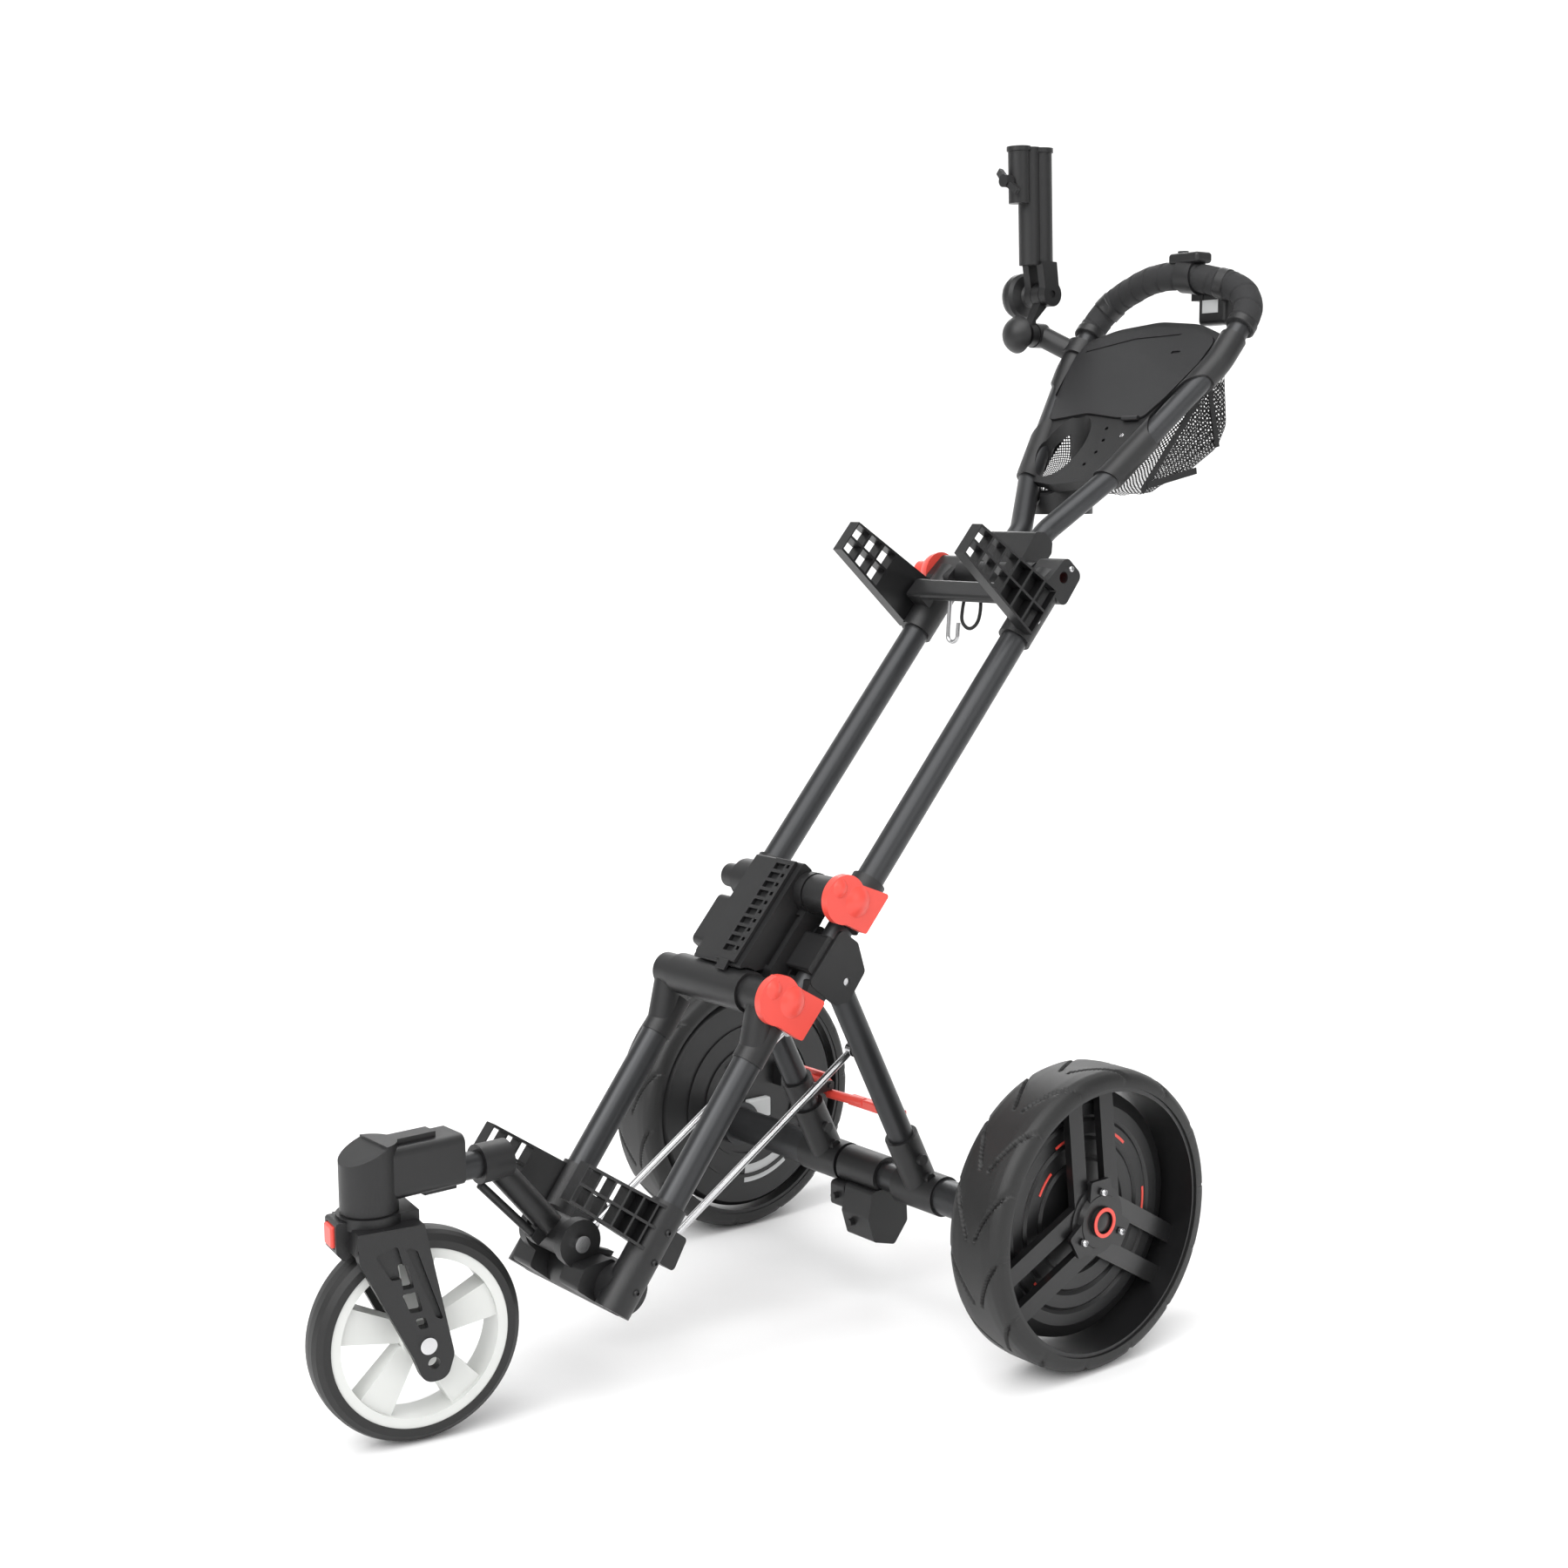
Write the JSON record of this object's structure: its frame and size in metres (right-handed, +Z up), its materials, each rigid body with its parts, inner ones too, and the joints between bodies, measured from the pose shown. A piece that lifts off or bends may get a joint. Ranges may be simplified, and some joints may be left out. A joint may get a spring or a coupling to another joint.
{
  "type": "electric golf trolley",
  "caption": "Folding electric golf trolley: hub-motor rear wheels, swivelling front wheel, two-tube frame with bag arms, padded handle loop, tray console, net and umbrella holder.",
  "frame": {"origin": "on the ground, below the middle of the trolley's bounding box", "axes": "+Z up, -Y towards the front wheel (travel direction), +X to the left-hand wheel as seen by someone facing +Y from the front"},
  "size_m": [0.6, 1.111, 1.2055],
  "materials": {
    "tyre_rubber": "matt, chevron tread",
    "wheel_plastic": "semi-gloss",
    "motor_case": "satin",
    "motor_core": "machined",
    "battery_case": "matt",
    "bearing_steel": "polished",
    "rod_steel": "zinc-plated",
    "dark_tube": "gunmetal anodised",
    "black_plastic": "fine texture",
    "arm_plastic": "fine texture",
    "lid_plastic": "satin",
    "handset_plastic": "semi-gloss",
    "red_plastic": "semi-gloss coral red",
    "white_plastic": "semi-gloss",
    "grip_foam": "wrapped foam",
    "net": "open net",
    "cord": "braided elastic cord"
  },
  "bodies": {
    "centre_frame": {"centre_casting": "black_plastic", "centre_rails": "dark_tube", "hinge_pins": "rod_steel", "upper_cover": "red_plastic", "lower_cover": "red_plastic", "latch_strap": "black_plastic"},
    "rear_axle": {"rear_legs": "dark_tube", "axle_brackets": "black_plastic", "axle_tube": "dark_tube", "axle_clamp": "black_plastic", "motor_housings": "motor_case", "motor_covers": "motor_case", "hub_motors": "motor_core", "battery_packs": "battery_case", "wheel_bearings": "bearing_steel"},
    "left_wheel": {"left_rear_tyre": "tyre_rubber", "left_rear_rim": "wheel_plastic", "left_hub_plate": "wheel_plastic"},
    "right_wheel": {"right_rear_tyre": "tyre_rubber", "right_rear_rim": "wheel_plastic", "right_hub_plate": "wheel_plastic"},
    "stay_rods": {"stay_rods": "rod_steel"},
    "brake_pedal": {"brake_pedal": "red_plastic"},
    "lower_frame": {"lower_tubes": "dark_tube", "lower_hinge_ends": "black_plastic", "base_casting": "black_plastic", "lower_arms": "arm_plastic", "arm_bolt": "rod_steel"},
    "front_arm": {"front_arm": "black_plastic", "front_link_tube": "dark_tube", "front_head": "black_plastic"},
    "caster": {"caster_fork": "black_plastic", "caster_stem": "rod_steel", "front_axle": "rod_steel"},
    "lock_button": {"lock_button": "red_plastic"},
    "front_wheel": {"front_tyre": "tyre_rubber", "front_rim": "white_plastic"},
    "upper_frame": {"upper_tubes": "dark_tube", "upper_hinge_ends": "black_plastic", "upper_bracket": "black_plastic", "upper_arms": "arm_plastic", "bag_hook": "rod_steel", "bungee_cord": "cord"},
    "handle": {"handle_block": "black_plastic", "handle_tube": "dark_tube", "handle_grips": "grip_foam", "console_tray": "black_plastic", "cup_holder": "black_plastic", "basket": "net", "controller": "black_plastic", "handset": "handset_plastic", "umbrella_clamp": "black_plastic"},
    "handle_knob": {"handle_knob": "red_plastic"},
    "console_lid": {"console_lid": "lid_plastic"},
    "control_button": {"control_button": "black_plastic"},
    "umbrella_knuckle": {"umbrella_knuckle": "black_plastic"},
    "umbrella_tube": {"umbrella_tube": "black_plastic"},
    "tilt_knob": {"tilt_knob": "black_plastic"},
    "swing_knob": {"swing_knob": "black_plastic"},
    "wing_screw": {"wing_screw": "black_plastic"}
  },
  "joints": [
    {"name": "upper_fold", "type": "hinge", "parent": "centre_frame", "child": "upper_frame", "pos_m": [0, -0.0375, 0.442], "axis": [1, 0, 0], "range_deg": [0, 120]},
    {"name": "lower_fold", "type": "hinge", "parent": "centre_frame", "child": "lower_frame", "pos_m": [0, -0.1185, 0.357], "axis": [1, 0, 0], "range_deg": [-70, 0]},
    {"name": "leg_fold", "type": "hinge", "parent": "centre_frame", "child": "rear_axle", "pos_m": [0, -0.0295, 0.36], "axis": [1, 0, 0], "range_deg": [-45.57, 0]},
    {"name": "rod_swing", "type": "hinge", "parent": "rear_axle", "child": "stay_rods", "pos_m": [0, 0.01061, 0.27943], "axis": [1, 0, 0], "range_deg": [-9.8, 0]},
    {"name": "left_wheel_spin", "type": "hinge", "parent": "rear_axle", "child": "left_wheel", "pos_m": [0, 0.1095, 0.145], "axis": [1, 0, 0], "continuous": true},
    {"name": "right_wheel_spin", "type": "hinge", "parent": "rear_axle", "child": "right_wheel", "pos_m": [0, 0.1095, 0.145], "axis": [1, 0, 0], "continuous": true},
    {"name": "brake_swing", "type": "hinge", "parent": "rear_axle", "child": "brake_pedal", "pos_m": [0, 0.0745, 0.20736], "axis": [1, 0, 0], "range_deg": [0, 20]},
    {"name": "front_arm_fold", "type": "hinge", "parent": "lower_frame", "child": "front_arm", "pos_m": [0, -0.3025, 0.148], "axis": [1, 0, 0], "range_deg": [-75, 0]},
    {"name": "caster_swivel", "type": "hinge", "parent": "front_arm", "child": "caster", "pos_m": [0, -0.4965, 0.23], "axis": [0, 0, 1], "continuous": true},
    {"name": "lock_press", "type": "slide", "parent": "caster", "child": "lock_button", "axis": [0.1736, 0.9848, 0], "range_m": [0, 0.003], "stiffness_N_per_m": 400},
    {"name": "front_wheel_spin", "type": "hinge", "parent": "caster", "child": "front_wheel", "pos_m": [0.00642, -0.46006, 0.096], "axis": [0.9848, -0.1736, 0], "continuous": true},
    {"name": "handle_tilt", "type": "hinge", "parent": "upper_frame", "child": "handle", "pos_m": [0, 0.2625, 0.736], "axis": [1, 0, 0], "range_deg": [-25, 70]},
    {"name": "handle_knob_turn", "type": "hinge", "parent": "handle", "child": "handle_knob", "pos_m": [-0.0001, 0.2625, 0.736], "axis": [1, 0, 0], "range_deg": [-180, 180]},
    {"name": "lid_turn", "type": "hinge", "parent": "handle", "child": "console_lid", "pos_m": [0, 0.40725, 0.89885], "axis": [1, 0, 0], "range_deg": [0, 100]},
    {"name": "button_press", "type": "slide", "parent": "handle", "child": "control_button", "axis": [0, 0, -1], "range_m": [0, 0.002], "stiffness_N_per_m": 500},
    {"name": "umbrella_swing", "type": "hinge", "parent": "handle", "child": "umbrella_knuckle", "pos_m": [-0.152, 0.4615, 0.998], "axis": [0, 1, 0], "range_deg": [-30, 30]},
    {"name": "umbrella_tilt", "type": "hinge", "parent": "umbrella_knuckle", "child": "umbrella_tube", "pos_m": [-0.152, 0.4775, 1.044], "axis": [1, 0, 0], "range_deg": [-30, 45]},
    {"name": "tilt_knob_turn", "type": "hinge", "parent": "umbrella_knuckle", "child": "tilt_knob", "pos_m": [-0.192, 0.4775, 1.044], "axis": [1, 0, 0], "range_deg": [-180, 180]},
    {"name": "swing_knob_turn", "type": "hinge", "parent": "umbrella_knuckle", "child": "swing_knob", "pos_m": [-0.152, 0.4315, 0.998], "axis": [0, 1, 0], "range_deg": [-180, 180]},
    {"name": "wing_screw_turn", "type": "hinge", "parent": "umbrella_tube", "child": "wing_screw", "pos_m": [-0.152, 0.4245, 1.166], "axis": [0, -1, 0], "range_deg": [-90, 90]}
  ],
  "couplings": [
    {"joint": "leg_fold", "follows": "lower_fold", "ratio": 0.651},
    {"joint": "rod_swing", "follows": "lower_fold", "ratio": 0.14}
  ]
}
